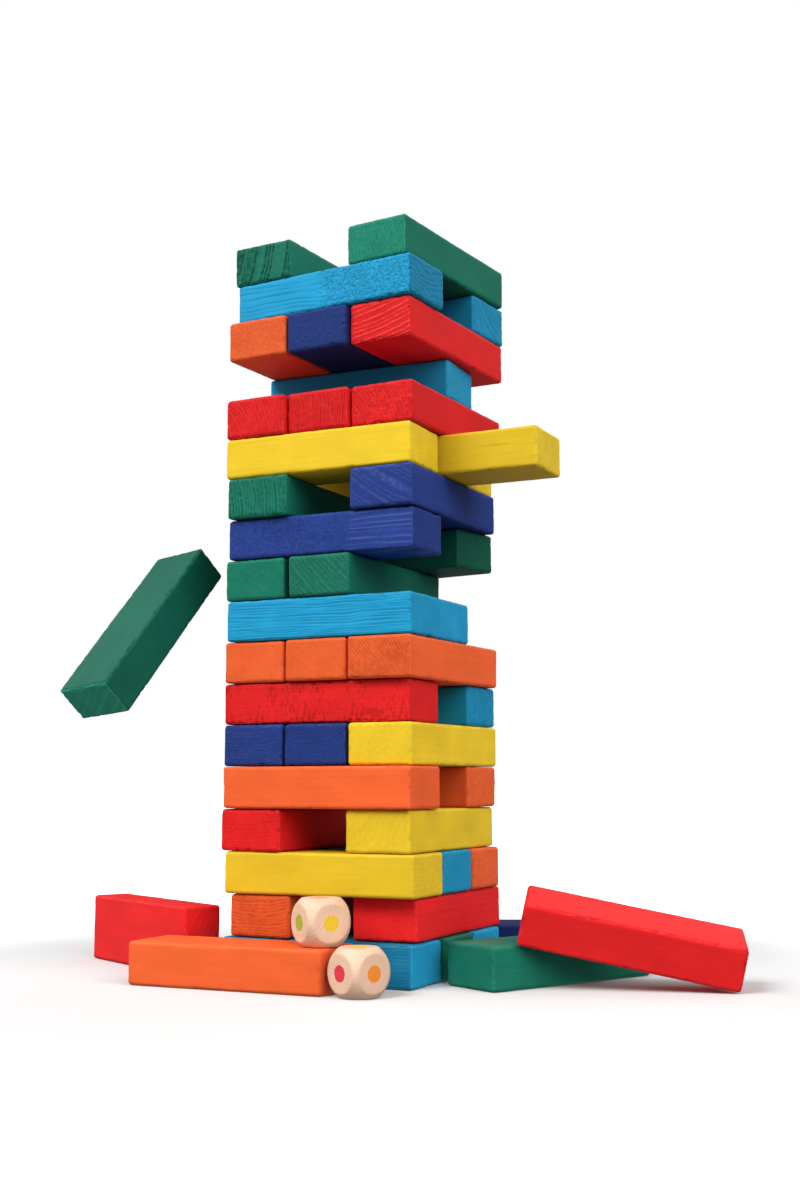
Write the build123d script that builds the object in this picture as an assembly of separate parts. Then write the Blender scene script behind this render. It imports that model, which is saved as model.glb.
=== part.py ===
from build123d import *
import math
import os

# Tumbling tower: a stacking game of painted wooden blocks, part way through a round.
# Eighteen layers stand on the table, some with a place left empty. One block is half drawn out,
# five lie around the foot, one is falling beside the tower, and two colour dice lie in front.
# Frame: origin on the table under the middle of the tower, +Z up, +X along the front of the
# tower to the right, +Y away from the player. Lengths are in millimetres, angles in degrees.

# ---- driving dimensions -------------------------------------------------------------------
BLOCK_LENGTH = 75.0
BLOCK_PITCH = 25.0  # places in a layer are a third of a block's length apart
LAYER_PITCH = 15.0  # height of one layer
SIDE_PLAY = 0.2  # a block is this much narrower than its place
STACK_PLAY = 0.1  # and this much thinner than its layer
BLOCK_WIDTH = BLOCK_PITCH - SIDE_PLAY
BLOCK_THICKNESS = LAYER_PITCH - STACK_PLAY
EDGE_RADIUS = 0.9  # sanded edges

DIE_EDGE = 16.0
DIE_BALL_RADIUS = 10.3  # the ball that rounds the cube's edges and corners

# ---- the tower as it stands ---------------------------------------------------------------
# Odd layers run left to right, and even layers run front to back. Each block is
# (paint, shift in x, shift in y, turn about z) away from the tidy middle of its place.
ALONG_X = {"front": -BLOCK_PITCH, "middle": 0.0, "back": BLOCK_PITCH}
ALONG_Y = {"left": -BLOCK_PITCH, "middle": 0.0, "right": BLOCK_PITCH}
TOWER = [
    {
        "front": ("light_blue", -0.8, -0.2, 1.0),
        "middle": ("green", 0.0, 0.8, 0.8),
        "back": ("light_blue", -0.5, 1.4, 0.8),
    },
    {
        "left": ("orange", 3.0, -0.5, -0.8),
        "right": ("red", -1.5, 5.5, 0.8),
    },
    {
        "front": ("yellow", 0.5, -1.2, 0.8),
        "middle": ("light_blue", -0.2, 0.0, 0.8),
        "back": ("orange", -0.3, 0.9, 0.6),
    },
    {
        "left": ("red", -0.6, -2.0, -0.5),
        "right": ("yellow", -1.4, -0.4, 1.1),
    },
    {
        "front": ("orange", 0.5, -3.0, 0.4),
        "back": ("orange", -0.8, -0.3, -1.2),
    },
    {
        "left": ("dark_blue", -1.4, 0.4, -0.3),
        "middle": ("dark_blue", -0.9, 0.0, 0.0),
        "right": ("yellow", -0.4, 0.1, 0.3),
    },
    {
        "front": ("red", -2.1, 1.5, 0.5),
        "back": ("light_blue", -1.2, 0.0, 0.0),
    },
    {
        "left": ("orange", -1.6, 0.2, 0.5),
        "middle": ("orange", -0.6, -0.5, 0.0),
        "right": ("orange", 0.4, -1.3, -0.5),
    },
    {
        "front": ("light_blue", -0.2, -0.5, 0.3),
        "middle": ("light_blue", -0.9, 0.4, 0.4),
    },
    {
        "left": ("green", -0.8, -0.4, -0.5),
        "middle": ("green", 1.1, -1.1, -0.2),
    },
    {
        "front": ("dark_blue", 0.2, -0.3, 1.2),
        "back": ("green", -3.1, 5.7, -8.0),
    },
    {
        "left": ("green", 0.8, -3.0, 0.3),
        "right": ("dark_blue", 0.6, -1.5, 0.6),
    },
    {
        "front": ("yellow", -0.4, -1.6, 1.7),
        "middle": ("yellow", 36.5, 0.4, 1.0),  # half drawn out to the right
        "back": ("yellow", -1.8, 1.1, 0.8),
    },
    {
        "left": ("red", 0.2, -2.5, -0.9),
        "middle": ("red", 0.8, -1.0, -1.2),
        "right": ("red", 1.4, 0.3, -1.5),
    },
    {
        "middle": ("light_blue", -0.4, 4.0, 2.7),
    },
    {
        "left": ("orange", 0.8, -1.3, -2.2),
        "middle": ("dark_blue", 1.5, -1.8, -2.5),
        "right": ("red", 2.3, -0.8, -2.8),
    },
    {
        "front": ("light_blue", 2.1, -0.2, -4.1),
        "back": ("light_blue", 3.3, 2.5, -4.1),
    },
    {
        "left": ("green", 1.3, 2.1, -2.8),
        "right": ("green", 1.9, -0.7, -4.7),
    },
]

# ---- the loose pieces ---------------------------------------------------------------------
FRONT_ORANGE = (-21.5, -51.9, 2.5)  # x, y and turn of the block lying in front of the tower
RIGHT_GREEN = (68.8, 9.6, 63.6)  # the one lying to the right of the tower
BACK_BLUE = (58.0, 69.1, 27.0)  # the one lying behind the tower
LEFT_RED = (-82.8, -16.8, -26.5)  # the one standing on its long edge to the left
LEANING_RED_FOOT = (137.2, 4.1)  # where the leaning block's front corner stands on the table
LEANING_RED_HEADING = 18.2
FALLING_GREEN = (-71.3, -42.5, 125.2)  # middle of the falling block
FALLING_TURN = (-95.7, 46.7, 7.0)  # its heading about z, rise about y and roll about x
UPPER_DIE = (10.2, -51.5, 55.7)  # x, y and turn of the die on the orange block
LOWER_DIE = (27.2, -56.2, 66.8)  # and of the die on the table


def make_block():
    """One block at the origin: long axis on X, wide face up."""
    block = Box(BLOCK_LENGTH, BLOCK_WIDTH, BLOCK_THICKNESS)
    return fillet(block.edges(), EDGE_RADIUS)


def make_die():
    """A wooden cube whose edges and corners are turned down to a ball."""
    return Box(DIE_EDGE, DIE_EDGE, DIE_EDGE) & Sphere(DIE_BALL_RADIUS)


def tower_blocks():
    """Where each block of the tower is, by name."""
    places = {}
    for number, layer in enumerate(TOWER, 1):
        runs_along_x = number % 2 == 1
        middle_height = (number - 1) * LAYER_PITCH + BLOCK_THICKNESS / 2
        for place, (paint, shift_x, shift_y, turn) in layer.items():
            if runs_along_x:
                x, y, heading = shift_x, ALONG_X[place] + shift_y, turn
            else:
                x, y, heading = ALONG_Y[place] + shift_x, shift_y, turn + 90
            name = f"layer_{number:02d}_{place}_{paint}"
            places[name] = Pos(x, y, middle_height) * Rot(Z=heading)
    return places


def lying(x, y, turn):
    """A place flat on the table."""
    return Pos(x, y, BLOCK_THICKNESS / 2) * Rot(Z=turn)


def standing_on_edge(x, y, turn):
    """A place on the table with the wide face upright."""
    return Pos(x, y, BLOCK_WIDTH / 2) * Rot(Z=turn) * Rot(X=90)


def leaning():
    """A place against the right-hand green block's top edge, with one corner on the table."""
    green = lying(*RIGHT_GREEN)
    top = BLOCK_THICKNESS / 2 + STACK_PLAY
    edge_ends = [
        (green * Pos(end * BLOCK_LENGTH / 2, -BLOCK_WIDTH / 2, top)).position for end in (-1, 1)
    ]
    foot = Vector(*LEANING_RED_FOOT, 0)
    underside = (edge_ends[1] - foot).cross(edge_ends[0] - foot).normalized()
    heading = math.radians(LEANING_RED_HEADING)
    level = Vector(math.cos(heading), math.sin(heading), 0)
    along = (level - underside * level.dot(underside)).normalized()
    across = underside.cross(along)
    middle = (
        foot
        - along * (BLOCK_LENGTH / 2)
        + across * (BLOCK_WIDTH / 2)
        + underside * (BLOCK_THICKNESS / 2)
    )
    return Location(Plane(origin=middle, x_dir=along, z_dir=underside))


def loose_blocks():
    """Where each block that has left the tower is, by name."""
    heading, rise, roll = FALLING_TURN
    return {
        "loose_front_orange": lying(*FRONT_ORANGE),
        "loose_right_green": lying(*RIGHT_GREEN),
        "loose_back_dark_blue": lying(*BACK_BLUE),
        "loose_left_red": standing_on_edge(*LEFT_RED),
        "loose_leaning_red": leaning(),
        "falling_green": Pos(*FALLING_GREEN) * Rot(Z=heading) * Rot(Y=rise) * Rot(X=roll),
    }


def dice():
    """Where each die is, by name."""
    upper_x, upper_y, upper_turn = UPPER_DIE
    lower_x, lower_y, lower_turn = LOWER_DIE
    half = DIE_EDGE / 2
    return {
        "die_on_block": Pos(upper_x, upper_y, LAYER_PITCH + half) * Rot(Z=upper_turn),
        "die_on_table": Pos(lower_x, lower_y, half) * Rot(Z=lower_turn),
    }


def build():
    """Every piece in its place, by name."""
    block = make_block()
    die = make_die()
    pieces = {name: place * block for name, place in tower_blocks().items()}
    pieces |= {name: place * block for name, place in loose_blocks().items()}
    pieces |= {name: place * die for name, place in dice().items()}
    return pieces


os.makedirs("parts", exist_ok=True)
for name, piece in build().items():
    export_step(piece, f"parts/{name}.step")
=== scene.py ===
import math
import zlib

import bpy
import numpy as np
from mathutils import Matrix, Vector


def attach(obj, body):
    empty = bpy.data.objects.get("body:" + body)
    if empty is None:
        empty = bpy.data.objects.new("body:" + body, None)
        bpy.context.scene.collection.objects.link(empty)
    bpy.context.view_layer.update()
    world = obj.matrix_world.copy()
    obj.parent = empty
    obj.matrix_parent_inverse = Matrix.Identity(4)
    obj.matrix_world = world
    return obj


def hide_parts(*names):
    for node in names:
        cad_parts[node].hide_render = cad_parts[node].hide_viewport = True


# Looks of the tumbling tower: every block is remade as a sawn, sanded and painted piece of wood,
# and the two dice as bare wood with painted spots. Lengths are in metres unless they say mm.

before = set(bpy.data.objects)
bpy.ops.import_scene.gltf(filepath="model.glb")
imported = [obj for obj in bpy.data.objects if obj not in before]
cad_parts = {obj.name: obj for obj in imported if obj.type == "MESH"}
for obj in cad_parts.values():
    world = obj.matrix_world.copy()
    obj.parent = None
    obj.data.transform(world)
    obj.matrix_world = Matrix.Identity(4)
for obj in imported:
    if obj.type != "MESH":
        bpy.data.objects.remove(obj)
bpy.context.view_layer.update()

MM = 0.001

# ---- how each block's wood shows through its paint ---------------------------------------------
# A block's long axis is X here, and its front or right-hand end is the positive one. Depths are in
# mm and cut inwards, so no block grows. Four more numbers set the growth rings, and are drawn from
# the block's own seed where STYLES doesn't give them: angle is their angle on the ends, in degrees
# from level, pitch the mm between them, pith the mm from the block's middle to the tree's, and
# slope how far they run aslant along the block.
DEFAULTS = dict(
    uneven=0.35,  # how much the rings' spacing varies
    waver=0.5,  # mm that the rings wander from their curve
    sharp=0.5,  # above 0, narrow pale ridges between grooves; below 0, narrow dark grooves
    end_lines=0.03,  # depth of the ring lines on the ends
    side_lines=0.01,  # the same on the sides
    pimples=0.04,  # depth between the pimples on the ends
    side_pimples=0.0,  # the same on the rough part of the sides
    rough_from=-1.0,  # mm from the block's middle to where the rough part starts
    rough_way=1,  # 1 where the rough part is the front or right-hand one, or -1
    specks=0.0,  # depth of the pits on the ends
    scratches=0.0,  # depth of the scratches along the sides
    tears=0.0,  # depth of the torn fibres on the sides
    nibble=0.14,  # depth of the chips along the edges
    cell=0.55,  # mm between the points of the mesh
    tone_and_painted_shading=0.0,  # how much lighter than its paint the block is: partly the paint's own tone, and on many blocks painted light above 0 and painted shade below 0, for how brightly it is lit
    end_painted_shading=0.0,  # how much lighter than that its ends are: painted light on the ends above 0, and painted shade below 0
)
# On many blocks tone and end_painted_shading paint light and shade into the colour, making a block
# or its ends lighter or darker for how brightly they are lit.
STYLES = {
    "layer_18_left_green": dict(
        angle=79, pitch=2.5, uneven=1.3, waver=0.9, sharp=-0.35, end_lines=0.62, pimples=0.1,
        nibble=0.3, cell=0.3, tone_and_painted_shading=0.05,
    ),
    "layer_18_right_green": dict(
        angle=106, pitch=1.0, sharp=-0.5, end_lines=0.16, pimples=0.06, nibble=0.2, cell=0.34,
        tone_and_painted_shading=-0.06, end_painted_shading=0.58,
    ),
    "layer_17_front_light_blue": dict(
        angle=7, pitch=2.0, pith=45, slope=0.1, waver=3.0, sharp=-1.2, end_lines=0.12,
        side_lines=0.11, side_pimples=0.22, nibble=0.25, cell=0.31, tone_and_painted_shading=0.1, end_painted_shading=-0.36,
    ),
    "layer_17_back_light_blue": dict(
        angle=-35, pitch=2.6, pith=30, sharp=-0.5, end_lines=0.14, end_painted_shading=-0.12,
    ),
    "layer_16_left_orange": dict(
        end_lines=0, pimples=0.09, specks=0.05, nibble=0.2, cell=0.33, tone_and_painted_shading=-0.04,
    ),
    "layer_16_middle_dark_blue": dict(
        end_lines=0, pimples=0.09, nibble=0.35, cell=0.33, tone_and_painted_shading=-0.08,
    ),
    "layer_16_right_red": dict(
        angle=13, pitch=1.9, pith=80, sharp=2.2, end_lines=0.22, pimples=0.08, nibble=0.3,
        cell=0.3, tone_and_painted_shading=0.02,
    ),
    "layer_15_middle_light_blue": dict(tone_and_painted_shading=-0.1),
    "layer_14_left_red": dict(
        angle=112, pitch=1.15, waver=0.9, sharp=-0.3, end_lines=0.18, cell=0.33, tone_and_painted_shading=0.06,
    ),
    "layer_14_middle_red": dict(
        angle=92, pitch=1.1, pith=30, waver=0.9, sharp=-0.3, end_lines=0.2, cell=0.33, tone_and_painted_shading=0.05,
    ),
    "layer_14_right_red": dict(
        angle=118, pitch=1.1, waver=1.2, sharp=-0.3, end_lines=0.16, pimples=0.12, nibble=0.3,
        cell=0.33, tone_and_painted_shading=-0.06, end_painted_shading=0.2,
    ),
    "layer_13_front_yellow": dict(side_lines=0.015, pimples=0.02, scratches=0.02),
    "layer_13_middle_yellow": dict(
        angle=55, pitch=1.9, slope=0.03, end_lines=0.05, scratches=0.1, cell=0.45, tone_and_painted_shading=-0.08,
        end_painted_shading=0.1,
    ),
    "layer_12_left_green": dict(
        angle=97, pitch=1.3, pith=45, waver=1.1, sharp=-0.9, end_lines=0.36, pimples=0.1,
        nibble=0.3, cell=0.33, tone_and_painted_shading=0.11,
    ),
    "layer_12_right_dark_blue": dict(
        angle=-33, pitch=2.3, pith=90, uneven=0.9, waver=0.6, sharp=2.4, end_lines=0.11,
        pimples=0.07, cell=0.34, tone_and_painted_shading=0.22,
    ),
    "layer_11_front_dark_blue": dict(
        angle=3, pitch=1.9, waver=1.3, sharp=2.5, end_lines=0, side_lines=0.15, pimples=0.06,
        side_pimples=0.17, rough_from=12.0, rough_way=-1, tears=0.06, cell=0.4, tone_and_painted_shading=0.36,
        end_painted_shading=-0.2,
    ),
    "layer_11_back_green": dict(angle=5, pitch=1.9, tone_and_painted_shading=-0.3, end_painted_shading=-0.12),
    "layer_10_left_green": dict(
        angle=74, pitch=1.2, sharp=-0.5, end_lines=0.08, pimples=0.07, tone_and_painted_shading=0.14,
    ),
    "layer_10_middle_green": dict(
        angle=-47, pitch=1.8, pith=95, waver=0.8, sharp=2.0, end_lines=0.12, pimples=0.08,
        cell=0.36, tone_and_painted_shading=-0.1,
    ),
    "layer_09_front_light_blue": dict(
        angle=2, pitch=1.0, pith=90, waver=1.3, sharp=-0.4, end_lines=0.02, side_lines=0.17,
        cell=0.33, tone_and_painted_shading=0.06, end_painted_shading=-0.1,
    ),
    "layer_08_left_orange": dict(angle=97, pitch=1.2, end_lines=0.02, tone_and_painted_shading=0.05),
    "layer_08_middle_orange": dict(angle=-33, pitch=2.8, pith=45, sharp=-0.8),
    "layer_08_right_orange": dict(
        angle=124, pitch=1.05, uneven=0.05, waver=0.15, sharp=-0.2, end_lines=0.17, cell=0.3,
        tone_and_painted_shading=0.06, end_painted_shading=-0.06,
    ),
    "layer_07_front_red": dict(
        angle=2, pitch=1.3, end_lines=0, side_lines=0.02, tears=0.18, nibble=0.45, cell=0.36,
        tone_and_painted_shading=0.04,
    ),
    "layer_07_back_light_blue": dict(
        angle=58, pitch=1.25, sharp=-0.3, end_lines=0.2, cell=0.36, tone_and_painted_shading=-0.12,
    ),
    "layer_06_left_dark_blue": dict(angle=3, pitch=1.1, end_lines=0.07, nibble=0.35, tone_and_painted_shading=0.1),
    "layer_06_middle_dark_blue": dict(
        angle=6, pitch=1.1, waver=1.5, end_lines=0.04, nibble=0.35, cell=0.36,
    ),
    "layer_06_right_yellow": dict(end_lines=0.01, tone_and_painted_shading=0.03),
    "layer_05_front_orange": dict(end_lines=0.01),
    "layer_04_left_red": dict(
        angle=4, pitch=1.2, sharp=-0.4, end_lines=0.07, pimples=0.05, nibble=0.35, cell=0.36,
    ),
    "layer_04_right_yellow": dict(angle=50, pitch=2.5, end_lines=0.02, tone_and_painted_shading=-0.06),
    "layer_03_front_yellow": dict(nibble=0.05, tone_and_painted_shading=-0.12, end_painted_shading=0.12),
    "layer_03_middle_light_blue": dict(tone_and_painted_shading=-0.12),
    # Painted shade on the left block of layer 2, and painted light on the right one.
    "layer_02_left_orange": dict(
        angle=3, pitch=1.15, waver=1.5, sharp=-0.2, end_lines=0.14, cell=0.34, tone_and_painted_shading=-0.19,
    ),
    "layer_02_right_red": dict(end_lines=0.02, side_lines=0.02, tone_and_painted_shading=0.18),
    "layer_01_front_light_blue": dict(
        angle=3, pitch=1.1, sharp=0.8, side_lines=0.1, scratches=0.1, cell=0.4, tone_and_painted_shading=-0.46,
        end_painted_shading=0.42,
    ),
    "loose_right_green": dict(side_lines=0.02),
    # Painted shade: this block is made darker.
    "loose_back_dark_blue": dict(tone_and_painted_shading=-0.38),
    "loose_front_orange": dict(tone_and_painted_shading=0.03),
    # Painted light: the two loose red blocks are made lighter.
    "loose_left_red": dict(tone_and_painted_shading=0.08),
    "loose_leaning_red": dict(angle=5, pitch=1.6, nibble=0.3, tone_and_painted_shading=0.08),
    # Painted shade on its sides and painted light on its ends.
    "falling_green": dict(
        angle=40, pitch=3.4, waver=2.5, end_lines=0.05, specks=0.08, tears=0.04, nibble=0.45,
        cell=0.45, tone_and_painted_shading=-0.38, end_painted_shading=1.15,
    ),
}

# The noises that shape a block: their size in mm, one length or one for each axis, and what is
# added to the block's seed.
NOISES = {
    "ring_wander_y": ((14, 5, 5), 1),
    "ring_wander_z": ((11, 5, 5), 2),
    "line_strength": ((9, 1.3, 1.3), 3),
    "coarse_pimples": (0.45, 4),
    "fine_pimples": (0.32, 5),
    "pits": (0.8, 6),
    "pit_places": (0.9, 7),
    "fibres": ((9, 0.7, 0.7), 8),
    "tears": ((0.6, 1.5, 1.5), 9),
    "tear_places": ((8, 5, 5), 10),
    "scratches": ((22, 0.45, 0.45), 12),
    "chips": ((1.6, 1.3, 1.3), 13),
    "sanding": ((16, 8, 8), 14),
    "sanded_edges": ((12, 6, 6), 20),
    "dented_edges": ((2.5, 2, 2), 21),
}
TONE_SEED = 30

# How high its noise is where each kind of mark starts, and where it is strongest.
MARKS = {
    "lines": (0.28, 0.62),
    "pimples": (0.25, 0.75),
    "pits": (0.50, 0.62),
    "tears": (0.56, 0.76),
    "scratches": (0.72, 0.92),
    "chips": (0.60, 0.85),
}
FAINTEST_LINE = 0.3  # as a share of the deepest

TOUCH = 1e-6  # nearer to a face than this is on it
CAD_EDGE_RADIUS = 0.9 * MM
SANDED_EDGE = 0.4  # mm that sanding rounds an edge further
DENTED_EDGE = 0.3  # mm that dents do
EDGE_BAND = 2.0 * MM  # the strip along every edge that gets closer rows of points
EDGE_ROWS = (0, 0.15, 0.3, 0.45, 0.62, 0.8)  # where they are, as shares of the band
COARSEST_CELL = 1.1 * MM  # between rows across the block, where little changes along it
ROUGH_FADE = 2.5  # mm over which the rough part of a block fades in
CHIPPED_EDGE = 1.6 * MM
WORN_EDGE = 1.1 * MM
FIBRE_DEPTH = 0.018  # mm
SANDING_DEPTH = 0.05  # mm
PALE_LINE_DEPTH = 0.2  # mm of depth between ridges that are fully pale
SPECKLED_DEPTH = 0.14  # mm of depth between pimples that are fully speckled
DARK_DEPTH = 0.26  # mm below its surroundings where the painted shade in hollows is darkest
TONE_SPREAD = 0.03


def style_of(name):
    """The block's own look: what STYLES says, and the rest from a seed made from its name."""
    seed = zlib.crc32(name.encode())
    draw = np.random.default_rng(seed)
    rings = dict(
        angle=draw.uniform(-40, 40),
        pitch=draw.uniform(1.4, 2.4),
        pith=draw.uniform(28, 70),
        slope=draw.uniform(-0.02, 0.02),
    )
    return DEFAULTS | rings | STYLES.get(name, {}) | dict(seed=seed % 100000)


# ---- noise -------------------------------------------------------------------------------------
def noise(points, size, seed):
    """Smooth noise from 0 to 1 whose features have the given size in mm."""
    cells = 32
    table = np.random.default_rng(seed).random((cells, cells, cells))
    keep_positive = 1000.0
    place = points / (np.asarray(size, float) * MM) + keep_positive
    corner = np.floor(place).astype(int)
    part = place - corner
    part = part * part * (3 - 2 * part)
    total = np.zeros(len(points))
    for step in np.ndindex(2, 2, 2):
        weight = np.prod(np.where(step, part, 1 - part), axis=1)
        x, y, z = ((corner + step) % cells).T
        total += weight * table[x, y, z]
    return total


def named_noise(name, points, seed):
    size, offset = NOISES[name]
    return noise(points, size, seed + offset)


def smooth_step(low, high, value):
    t = np.clip((value - low) / (high - low), 0, 1)
    return t * t * (3 - 2 * t)


def marks(kind, value):
    """How strong one kind of mark is, from 0 to 1, where its noise has the given value."""
    return smooth_step(*MARKS[kind], value)


# ---- the shell of a block ----------------------------------------------------------------------
def stations(length, cell):
    """Places of the rows across one side: close together along the edges, even between them."""
    edge = EDGE_BAND * np.array(EDGE_ROWS)
    count = max(2, round((length - 2 * EDGE_BAND) / cell) + 1)
    middle = np.linspace(EDGE_BAND, length - EDGE_BAND, count)
    return np.concatenate([edge, middle, length - edge[::-1]]) - length / 2


def shell(size, cells):
    """The points and quads of a closed box with rows of points on every side."""
    rows = [stations(length, cell) for length, cell in zip(size, cells)]
    grid = np.stack(np.meshgrid(*rows, indexing="ij"), axis=-1)
    outside = np.zeros(grid.shape[:3], bool)
    for axis in range(3):
        for end in (0, -1):
            np.moveaxis(outside, axis, 0)[end] = True
    number = np.full(outside.shape, -1)
    number[outside] = np.arange(outside.sum())
    quads = []
    for axis in range(3):
        for end in (0, -1):
            sheet = np.moveaxis(number, axis, 0)[end]
            ring = [sheet[:-1, :-1], sheet[1:, :-1], sheet[1:, 1:], sheet[:-1, 1:]]
            faces = np.stack(ring, axis=-1).reshape(-1, 4)
            outward = (end == -1) != (axis == 1)
            quads.append(faces if outward else faces[:, ::-1])
    return grid[outside], np.concatenate(quads)


def round_edges(points, size, radius):
    """Rounds the box's edges with a radius of its own at each point. Returns points and normals."""
    core = np.asarray(size) / 2 - radius[:, None]
    inner = np.clip(points, -core, core)
    normal = points - inner
    normal /= np.linalg.norm(normal, axis=1, keepdims=True)
    return inner + normal * radius[:, None], normal


def near_edges(points, size, reach):
    """1 on the box's edges, and 0 from reach away inwards."""
    gap = np.sort(np.asarray(size) / 2 - np.abs(points), axis=1)
    return 1 - smooth_step(0, reach, gap[:, 1])


def growth_rings(points, style):
    """How many growth rings lie between the pith and each point."""
    seed = style["seed"]
    across = math.radians(style["angle"] + 90)
    pith = style["pith"] * MM
    drift = style["slope"] * points[:, 0]
    waver = style["waver"] * MM
    y = points[:, 1] - pith * math.cos(across) - drift
    z = points[:, 2] - pith * math.sin(across) + drift * 0.6
    y = y + waver * (named_noise("ring_wander_y", points, seed) - 0.5)
    z = z + waver * (named_noise("ring_wander_z", points, seed) - 0.5)
    turns = np.hypot(y, z) / (style["pitch"] * MM)
    good_and_bad_years = np.sin(turns * 1.7 + seed) + 0.6 * np.sin(turns * 0.73)
    return turns + style["uneven"] * good_and_bad_years * 0.5


def ring_lines(points, lines, style):
    """The lines of the growth rings, up to the given depth at each point in mm. Returns how deep
    they cut, how deep the ground is that they are seen against, and the ridges, from 0 to 1."""
    wave = 0.5 + 0.5 * np.cos(2 * math.pi * growth_rings(points, style))
    strength = marks("lines", named_noise("line_strength", points, style["seed"]))
    strength = FAINTEST_LINE + (1 - FAINTEST_LINE) * strength
    power = 1 + 3 * abs(style["sharp"])
    if style["sharp"] < 0:
        level = np.zeros(len(points))
        return lines * strength * (1 - wave) ** power, level, level
    ridge = strength * wave**power
    return lines * (1 - ridge), lines, ridge


def carve(points, size, style):
    """Depth cut into each point in mm, and what the paint has to know about it."""

    def of(name):
        return named_noise(name, points, style["seed"])

    end = (np.abs(points[:, 0]) > size[0] / 2 - TOUCH).astype(float)
    side = 1 - end
    past = (points[:, 0] / MM - style["rough_from"]) * style["rough_way"]
    rough = smooth_step(-ROUGH_FADE, ROUGH_FADE, past)
    smooth_part = 1 - rough * (style["side_pimples"] > 0)
    lines = style["end_lines"] * end + style["side_lines"] * side * smooth_part
    depth, ground, ridge = ring_lines(points, lines, style)

    pimples = of("coarse_pimples") * 0.5 + of("fine_pimples") * 0.5
    speck = style["pimples"] * end + style["side_pimples"] * side * rough
    depth += speck * marks("pimples", 1 - pimples)
    pits = of("pits") * of("pit_places")
    depth += style["specks"] * marks("pits", pits) * end

    fibres = of("fibres")
    depth += FIBRE_DEPTH * fibres * side
    tear = marks("tears", of("tears") * 0.66 + of("tear_places") * 0.42) * side
    depth += style["tears"] * tear * (0.4 + 0.6 * fibres)
    depth += style["scratches"] * marks("scratches", of("scratches")) * side

    edge = near_edges(points, size, CHIPPED_EDGE)
    depth += style["nibble"] * edge * marks("chips", of("chips"))
    depth += SANDING_DEPTH * of("sanding")

    return depth, dict(
        line=ridge * np.clip(lines / PALE_LINE_DEPTH, 0, 1),
        speck=np.clip(speck / SPECKLED_DEPTH, 0, 1),
        end=end,
        edge=near_edges(points, size, WORN_EDGE),
        hollow=np.clip((depth - ground) / DARK_DEPTH, 0, 1),
    )


def add_layer(mesh, name, values):
    """Keeps one number or one vector for each point in the mesh, for its material to read."""
    if values.ndim == 1:
        layer = mesh.attributes.new(name, "FLOAT", "POINT")
        layer.data.foreach_set("value", values.astype(np.float32))
    else:
        layer = mesh.attributes.new(name, "FLOAT_VECTOR", "POINT")
        layer.data.foreach_set("vector", values.astype(np.float32).ravel())


def block_mesh(name, size):
    """One block's skin, long axis on X and wide face up, with what its paint reads."""
    style = style_of(name)
    seed = style["seed"]
    cell = style["cell"] * MM
    fine_along = style["tears"] > 0.1 or style["side_pimples"]
    along = cell if fine_along else min(COARSEST_CELL, cell * 2)
    points, quads = shell(size, (along, cell, cell))
    sanded = SANDED_EDGE * named_noise("sanded_edges", points, seed)
    dented = DENTED_EDGE * named_noise("dented_edges", points, seed)
    radius = CAD_EDGE_RADIUS + (sanded + dented) * MM
    place, normal = round_edges(points, size, radius)
    depth, facts = carve(points, size, style)
    place = place - normal * (depth * MM)[:, None]
    mesh = bpy.data.meshes.new(name)
    mesh.from_pydata(place.tolist(), [], quads.tolist())
    mesh.shade_smooth()
    draw = np.random.default_rng(seed + TONE_SEED)
    own_tone = draw.uniform(-TONE_SPREAD, TONE_SPREAD)
    # The block's tone: its style's tone and end_painted_shading, which paint light and shade on
    # many blocks, and a small random tone of its own.
    facts["tone_and_painted_shading"] = 1 + style["tone_and_painted_shading"] + style["end_painted_shading"] * facts["end"] + own_tone
    for key, values in facts.items():
        add_layer(mesh, key, values)
    add_layer(mesh, "wood", points + draw.uniform(0, 3, 3))
    return mesh


# ---- where a CAD block or die stands -----------------------------------------------------------
TOWARD_VIEWER = np.array([0.45, -0.89, 0.05])
RIGHT_FACE_OF_DICE = np.array([0.87, -0.49, 0.0])  # the way the dice's right-hand seen face looks
SQUARE = 0.02  # how far from square two faces may be


def face_axes(mesh):
    """Three square axes along the normals of a CAD mesh's large flat faces."""
    count = len(mesh.polygons)
    normals = np.zeros(count * 3)
    areas = np.zeros(count)
    mesh.polygons.foreach_get("normal", normals)
    mesh.polygons.foreach_get("area", areas)
    normals = normals.reshape(-1, 3)
    upward = normals[np.argmax(areas)]
    across = np.abs(normals @ upward) < SQUARE
    sideways = normals[np.argmax(areas * across)]
    axes = np.array([np.cross(sideways, upward), sideways, upward])
    return axes / np.linalg.norm(axes, axis=1, keepdims=True)


def resting_place(node):
    """The box that a CAD node fills: its size, and the matrix of its own axes, X the longest."""
    axes = face_axes(node.data)
    points = np.zeros(len(node.data.vertices) * 3)
    node.data.vertices.foreach_get("co", points)
    points = points.reshape(-1, 3)
    spans = np.ptp(points @ axes.T, axis=0)
    is_cube = np.ptp(spans) < MM
    if is_cube:
        either_way = np.concatenate([axes, -axes])
        forward = either_way[np.argmax(either_way @ RIGHT_FACE_OF_DICE)]
        upward = either_way[np.argmax(either_way[:, 2])]
    else:
        longest, _, shortest = axes[np.argsort(-spans, kind="stable")]
        forward = longest * np.sign(longest @ TOWARD_VIEWER)
        upward = shortest * np.sign(shortest[np.argmax(np.abs(shortest))])
    axes = np.array([forward, np.cross(upward, forward), upward])
    local = points @ axes.T
    low, high = local.min(axis=0), local.max(axis=0)
    middle = (low + high) / 2 @ axes
    matrix = Matrix.Translation(middle) @ Matrix(axes.T.tolist()).to_4x4()
    return high - low, matrix


# ---- materials ---------------------------------------------------------------------------------
NOISE_ROUGHNESS = 0.55


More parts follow.
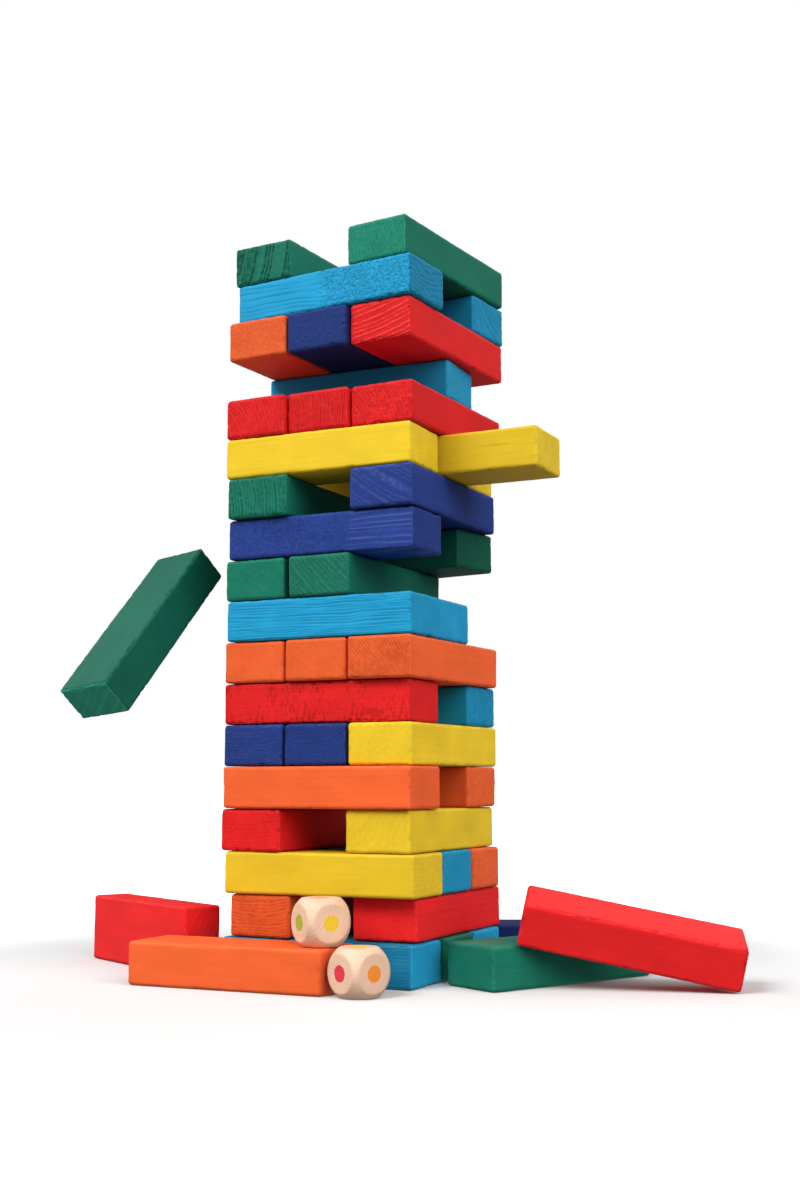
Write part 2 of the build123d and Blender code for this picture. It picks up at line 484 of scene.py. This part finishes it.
class Graph:
    """Builds one material's nodes."""

    def __init__(self, name):
        self.material = bpy.data.materials.new(name)
        self.material.use_nodes = True
        self.tree = self.material.node_tree
        self.shader = self.tree.nodes["Principled BSDF"]

    def add(self, kind, settings=(), **inputs):
        node = self.tree.nodes.new(kind)
        for key, value in dict(settings).items():
            setattr(node, key, value)
        for key, value in inputs.items():
            self.put(node.inputs[key], value)
        return node

    def put(self, socket, value):
        if isinstance(value, bpy.types.NodeSocket):
            self.tree.links.new(value, socket)
        else:
            socket.default_value = value

    def shade(self, **inputs):
        """Sets the shader's sockets. Their names have _ for each space."""
        for key, value in inputs.items():
            self.put(self.shader.inputs[key.replace("_", " ")], value)

    def read(self, name, output="Fac"):
        node = self.add("ShaderNodeAttribute", dict(attribute_name=name))
        return node.outputs[output]

    def math(self, operation, first, second=0.0, third=0.0, clamp=False):
        node = self.add("ShaderNodeMath", dict(operation=operation, use_clamp=clamp))
        for socket, value in zip(node.inputs, (first, second, third)):
            self.put(socket, value)
        return node.outputs[0]

    def product(self, first, second):
        return self.math("MULTIPLY", first, second)

    def total(self, *terms):
        """The sum of (value, weight) pairs."""
        result = 0.0
        for value, weight in terms:
            result = self.math("MULTIPLY_ADD", value, weight, result)
        return result

    def ramp(self, value, low, high, out_low=0.0, out_high=1.0):
        """Goes smoothly from out_low to out_high while the value goes from low to high."""
        node = self.add("ShaderNodeMapRange", dict(interpolation_type="SMOOTHSTEP"))
        names = ("Value", "From Min", "From Max", "To Min", "To Max")
        for name, given in zip(names, (value, low, high, out_low, out_high)):
            self.put(node.inputs[name], given)
        return node.outputs["Result"]

    def noise(self, place, per_metre, detail):
        stretch = self.add("ShaderNodeMapping", Vector=place, Scale=per_metre)
        inputs = dict(Scale=1.0, Detail=detail, Roughness=NOISE_ROUGHNESS)
        node = self.add("ShaderNodeTexNoise", Vector=stretch.outputs[0], **inputs)
        return node.outputs["Fac"]

    def scale(self, colour, by):
        node = self.add("ShaderNodeVectorMath", dict(operation="SCALE"), Vector=colour, Scale=by)
        return node.outputs[0]

    def mix(self, share, first, second):
        """A mix of two colours."""
        node = self.add("ShaderNodeMix", dict(data_type="RGBA"))
        self.put(node.inputs[0], share)
        for socket, value in ((node.inputs[6], first), (node.inputs[7], second)):
            self.put(socket, value if isinstance(value, bpy.types.NodeSocket) else (*value, 1.0))
        return node.outputs[2]

    def mix_clamped(self, share, first, second):
        return self.mix(self.math("ADD", share, 0.0, clamp=True), first, second)

    def bump(self, height, strength):
        """Bump from a height in mm."""
        node = self.add("ShaderNodeBump", Height=height, Strength=strength, Distance=MM)
        self.shade(Normal=node.outputs[0])


def scaled(colour, by):
    return tuple(min(1.0, channel * by) for channel in colour)


# Each paint's colour, linear, before its block's tone and its painted light and shade.
PAINT_COLOURS = {
    "light_blue": (0.018, 0.35, 0.63),
    "dark_blue": (0.018, 0.042, 0.205),
    "orange": (0.94, 0.135, 0.034),
    "yellow": (0.89, 0.60, 0.028),
    "green": (0.011, 0.185, 0.118),
    "red": (0.78, 0.018, 0.019),
}
THIN_COAT, THICK_COAT = 0.62, 1.14  # times the paint's colour
PALE_KEEPS, PALE_ADDS = 0.88, 0.09  # the share of the paint's colour, and white on top of it
PALE_WEAR, PALE_LINES = 0.30, 0.42  # how pale worn edges and raised lines get at most; on raised lines that is thinner paint and a painted sheen
HOLLOW_SHADE = 0.42  # how much painted shade darkens the deepest hollow


def painted_wood(paint):
    """Satin paint over sawn wood: thinner on worn edges, paler on ridges from thinner paint and a
    painted sheen, and darker in hollows from painted shade and pooled paint.
    """
    g = Graph(f"{paint}_paint")
    full = PAINT_COLOURS[paint]
    thin = scaled(full, THIN_COAT)
    thick = scaled(full, THICK_COAT)
    pale = tuple(channel * PALE_KEEPS + PALE_ADDS for channel in full)

    wood = g.read("wood", "Vector")
    line = g.read("line")
    hollow = g.read("hollow")
    end = g.read("end")
    side = g.math("SUBTRACT", 1.0, end)
    fibres = g.product(g.noise(wood, (70, 1500, 1500), 3), side)
    streaks = g.product(g.noise(wood, (22, 420, 420), 3), side)
    clouds = g.noise(wood, (70, 110, 110), 3)
    pores = g.noise(wood, (2200, 2200, 2200), 3)
    specks = g.product(pores, g.read("speck"))

    cover = g.total((clouds, 0.55), (streaks, 0.22), (1.0, 0.12))
    # Hollows are pushed toward the darker coat: painted shade, with pooled paint.
    cover = g.total((hollow, -0.30), (specks, 0.45), (cover, 1.0))
    body = g.mix_clamped(cover, thin, thick)
    worn = g.ramp(g.noise(wood, (260, 500, 500), 3), 0.45, 0.75)
    worn = g.product(worn, g.read("edge"))
    # Worn edges get paler, and raised lines get paler from thinner paint and a painted sheen.
    body = g.mix(g.total((worn, PALE_WEAR), (line, PALE_LINES)), body, pale)
    # Painted shade: the deepest hollows are darkened further by HOLLOW_SHADE.
    painted_hollow_shade = g.math("MULTIPLY_ADD", hollow, -HOLLOW_SHADE, 1.0)
    # The block's tone brings its painted light and shade into the colour here.
    g.shade(Base_Color=g.scale(body, g.product(g.read("tone_and_painted_shading"), painted_hollow_shade)))

    g.shade(Roughness=g.total((clouds, 0.16), (hollow, 0.12), (fibres, 0.06), (1.0, 0.33)))
    g.shade(Specular_IOR_Level=0.06)
    height = g.total(
        (fibres, 0.030),
        (streaks, 0.05),
        (line, 0.05),
        (specks, 0.10),
        (g.product(pores, end), 0.030),
        (pores, 0.006),
    )
    g.bump(height, 0.8)
    return g.material


# ---- the dice ----------------------------------------------------------------------------------
DIE_HALF = 8 * MM
DIE_BALL = 10.3 * MM  # the ball that turns down the cube's edges
DIE_CELL = 0.24 * MM
SOFT_RIM = 0.2 * MM  # between a face and the turned part
RIM_LIFT = 0.02 * MM  # makes up for what the soft rim takes off a face
DIE_DENTS = (3.5, 0.06), (0.8, 0.02)  # mm: how far apart, and how deep
FACE_DENTS = 0.3  # how deep they are on the flat faces, as a share of that
TURNED_FROM, TURNED_FULL = -0.4 * MM, 0.8 * MM  # outside the ball
DIE_RIDGES = 0.03  # mm
SPOT_RADIUS = 2.75 * MM
SPOT_RAGGED = 0.5 * MM
SPOT_DEPTH = 6.4 * MM  # from the die's middle; paint shows only beyond it
SPOTS = {
    "red": (0.62, 0.010, 0.032),
    "orange": (0.80, 0.23, 0.012),
    "yellow": (0.72, 0.46, 0.008),
    "green": (0.31, 0.37, 0.018),
    "light_blue": (0.04, 0.30, 0.58),
    "dark_blue": (0.03, 0.05, 0.25),
}
# The spots' colours on the positive and the negative face of each axis. X is the right-hand face.
DICE = {
    "die_on_block": dict(
        x=("yellow", "light_blue"), y=("dark_blue", "green"), z=("orange", "red")
    ),
    "die_on_table": dict(
        x=("orange", "dark_blue"), y=("light_blue", "red"), z=("yellow", "green")
    ),
}
DIE_RINGS = dict(angle=60, pith=16, slope=0.1, waver=0.7, pitch=1.3, uneven=0.3)
BARE_WOOD = ((0.52, 0.285, 0.168), (0.79, 0.54, 0.392))  # its darkest and palest, linear


def die_mesh(name):
    """A cube turned down to a ball at its edges, with faint ridges of its grain."""
    seed = zlib.crc32(name.encode()) % 100000
    size = np.full(3, 2 * DIE_HALF)
    points, quads = shell(size, (DIE_CELL,) * 3)
    reach = np.linalg.norm(points, axis=1)
    outward = points / reach[:, None]
    gap = reach - DIE_BALL
    rounded = 0.5 * (reach + DIE_BALL - np.sqrt(gap * gap + SOFT_RIM * SOFT_RIM)) + RIM_LIFT
    rounded = np.minimum(rounded, np.minimum(reach, DIE_BALL))
    dents = 0
    for number, (apart, deep) in enumerate(DIE_DENTS):
        dents = dents + noise(points, apart, seed + number) * deep
    turned = smooth_step(TURNED_FROM, TURNED_FULL, gap)
    depth = dents * (FACE_DENTS + (1 - FACE_DENTS) * turned)
    rings = growth_rings(points, DIE_RINGS | dict(seed=seed))
    ridge = 0.5 + 0.5 * np.cos(2 * math.pi * rings)
    depth += DIE_RIDGES * (1 - ridge) * (np.abs(points[:, 0]) > DIE_HALF - TOUCH)
    place = outward * (rounded - depth * MM)[:, None]
    mesh = bpy.data.meshes.new(name)
    mesh.from_pydata(place.tolist(), [], quads.tolist())
    mesh.shade_smooth()
    add_layer(mesh, "ring", rings)
    add_layer(mesh, "wood", place)
    return mesh


def bare_wood(name, spots):
    """Unpainted wood with one round spot of paint in the middle of each face."""
    g = Graph(name)
    place = g.read("wood", "Vector")
    line = g.ramp(g.math("PINGPONG", g.read("ring"), 0.5), 0.28, 0.02)
    fibres = g.noise(place, (120, 1800, 1800), 4)
    clouds = g.noise(place, (160, 160, 160), 3)
    pores = g.noise(place, (900, 3000, 3000), 3)
    shade = g.total((clouds, 0.60), (fibres, 0.22), (line, -0.07), (1.0, 0.22))
    body = g.mix_clamped(shade, *BARE_WOOD)

    ragged = g.noise(place, (900, 900, 900), 2)
    cover = g.ramp(fibres, 0.2, 0.45, 0.86, 0.99)
    axes = g.add("ShaderNodeSeparateXYZ", Vector=place).outputs
    paint = 0.0
    for axis, colours in spots.items():
        own = axes["xyz".index(axis)]
        others = [axes[k] for k in range(3) if "xyz"[k] != axis]
        spread = g.math("ADD", g.math("POWER", others[0], 2.0), g.math("POWER", others[1], 2.0))
        radius = g.math("MULTIPLY_ADD", ragged, SPOT_RAGGED, g.math("SQRT", spread))
        inside = g.math("LESS_THAN", radius, SPOT_RADIUS + SPOT_RAGGED / 2)
        for sign, colour in zip((1, -1), colours):
            this_side = g.math("GREATER_THAN", g.product(own, sign), SPOT_DEPTH)
            share = g.product(inside, this_side)
            body = g.mix(g.product(share, cover), body, SPOTS[colour])
            paint = g.math("ADD", paint, share)

    g.shade(
        Base_Color=body,
        Roughness=g.total((clouds, 0.15), (paint, -0.12), (1.0, 0.46)),
        Specular_IOR_Level=0.35,
        Subsurface_Weight=0.08,
        Subsurface_Scale=0.002,
    )
    g.bump(g.total((fibres, 0.05), (line, 0.03), (pores, 0.03), (paint, 0.03)), 0.7)
    return g.material


# ---- every block and die in its place ----------------------------------------------------------
def place_piece(name, mesh, matrix, material):
    piece = bpy.data.objects.new(f"wood_{name}", mesh)
    bpy.context.scene.collection.objects.link(piece)
    mesh.materials.append(material)
    mesh.transform(matrix)
    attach(piece, name)
    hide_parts(name)


paints = {paint: painted_wood(paint) for paint in PAINT_COLOURS}
for name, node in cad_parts.items():
    size, matrix = resting_place(node)
    if name in DICE:
        wood = bare_wood(f"{name}_wood", DICE[name])
        place_piece(name, die_mesh(name), matrix, wood)
    else:
        paint = next(paint for paint in PAINT_COLOURS if name.endswith(paint))
        place_piece(name, block_mesh(name, size), matrix, paints[paint])


# ---- floor, light and camera -------------------------------------------------------------------
FLOOR_REACH = 40.0
FLOOR_DROP = 0.1 * MM  # so that it doesn't lie in the blocks' undersides
FLOOR_COLOUR = (0.62, 0.62, 0.62, 1)
WHITE = (1, 1, 1, 1)
GLOW_FROM, GLOW_FULL = 0.15, 0.34  # from the tower's middle


def pale_floor():
    """White ground that shows shadows near the blocks only, and glows white farther out."""
    mesh = bpy.data.meshes.new("floor")
    corners = [(-1, -1), (1, -1), (1, 1), (-1, 1)]
    points = [(x * FLOOR_REACH, y * FLOOR_REACH, -FLOOR_DROP) for x, y in corners]
    mesh.from_pydata(points, [], [(0, 1, 2, 3)])
    floor = bpy.data.objects.new("floor", mesh)
    bpy.context.scene.collection.objects.link(floor)
    g = Graph("floor")
    place = g.add("ShaderNodeTexCoord").outputs["Object"]
    away = g.add("ShaderNodeVectorMath", dict(operation="LENGTH"), Vector=place).outputs["Value"]
    g.shade(
        Base_Color=FLOOR_COLOUR,
        Emission_Color=WHITE,
        Emission_Strength=g.ramp(away, GLOW_FROM, GLOW_FULL),
        Roughness=1.0,
        Specular_IOR_Level=0.0,
    )
    mesh.materials.append(g.material)
    floor.visible_diffuse = False
    floor.visible_glossy = False


def soft_light(name, azimuth, elevation, spread, share):
    """A large far light. Azimuth 0 shines from the front of the tower and 90 from its right.
    Share is how brightly it lights a white face turned to it, where 1 is white."""
    light = bpy.data.lights.new(name, "SUN")
    light.energy = share * math.pi
    light.angle = math.radians(spread)
    lamp = bpy.data.objects.new(name, light)
    bpy.context.scene.collection.objects.link(lamp)
    turn, rise = math.radians(azimuth), math.radians(elevation)
    flat = math.cos(rise)
    toward = Vector((math.sin(turn) * flat, -math.cos(turn) * flat, math.sin(rise)))
    lamp.matrix_world = toward.to_track_quat("Z", "Y").to_matrix().to_4x4()


def white_room(from_above, from_below, mirrored_front, mirrored_back):
    """Even light from above and from below, and a white background. Shiny paint mirrors the
    given shares of white from in front of the tower and from behind it."""
    world = bpy.data.worlds.new("room")
    bpy.context.scene.world = world
    world.use_nodes = True
    nodes, links = world.node_tree.nodes, world.node_tree.links
    axes = nodes.new("ShaderNodeSeparateXYZ")
    links.new(nodes.new("ShaderNodeTexCoord").outputs["Generated"], axes.inputs[0])
    path = nodes.new("ShaderNodeLightPath")

    def blend(axis, reach, low, high):
        """A strength that goes from low to high across the middle of one axis."""
        node = nodes.new("ShaderNodeMapRange")
        links.new(axes.outputs[axis], node.inputs["Value"])
        ends = {"From Min": -reach, "From Max": reach, "To Min": low, "To Max": high}
        for key, value in ends.items():
            node.inputs[key].default_value = value
        return node.outputs["Result"]

    def choose(ray, usual):
        """Takes the usual strength, but another for one kind of ray, which is still to be set."""
        node = nodes.new("ShaderNodeMix")
        links.new(path.outputs[ray], node.inputs[0])
        links.new(usual, node.inputs[2])
        return node.inputs[3], node.outputs[0]

    mirrored, strength = choose("Is Glossy Ray", blend("Z", 0.15, from_below, from_above))
    links.new(blend("Y", 0.4, mirrored_front, mirrored_back), mirrored)
    seen, strength = choose("Is Camera Ray", strength)
    seen.default_value = 1.0
    background = nodes["Background"]
    links.new(strength, background.inputs["Strength"])
    background.inputs["Color"].default_value = WHITE


CAMERA_PLACE = Vector((0.2613, -0.4922, 0.0690))
CAMERA_AZIMUTH = math.radians(26.655)
CAMERA_ELEVATION = math.radians(-7.02)
CAMERA_ROLL = math.radians(-0.106)
CAMERA_LENS = 44.56  # mm, on a sensor 36 mm wide


def camera():
    data = bpy.data.cameras.new("camera")
    data.sensor_width = 36.0
    data.lens = CAMERA_LENS
    data.clip_start = 0.01
    data.clip_end = 100.0
    eye = bpy.data.objects.new("camera", data)
    bpy.context.scene.collection.objects.link(eye)
    turn_x, turn_y = math.cos(CAMERA_AZIMUTH), math.sin(CAMERA_AZIMUTH)
    flat = math.cos(CAMERA_ELEVATION)
    back = Vector((turn_y * flat, -turn_x * flat, math.sin(CAMERA_ELEVATION)))
    right = Vector((turn_x, turn_y, 0))
    axes = Matrix((right, back.cross(right), back)).transposed().to_4x4()
    roll = Matrix.Rotation(CAMERA_ROLL, 4, "Z")
    eye.matrix_world = Matrix.Translation(CAMERA_PLACE) @ axes @ roll
    bpy.context.scene.camera = eye


pale_floor()
white_room(from_above=0.20, from_below=0.37, mirrored_front=0.95, mirrored_back=0.18)
soft_light("key", azimuth=-20, elevation=44, spread=30, share=0.86)
soft_light("side", azimuth=68, elevation=35, spread=60, share=0.84)
soft_light("left", azimuth=-75, elevation=34, spread=60, share=0.40)
soft_light("behind", azimuth=165, elevation=48, spread=60, share=0.22)
camera()
bpy.context.scene.view_settings.view_transform = "Standard"
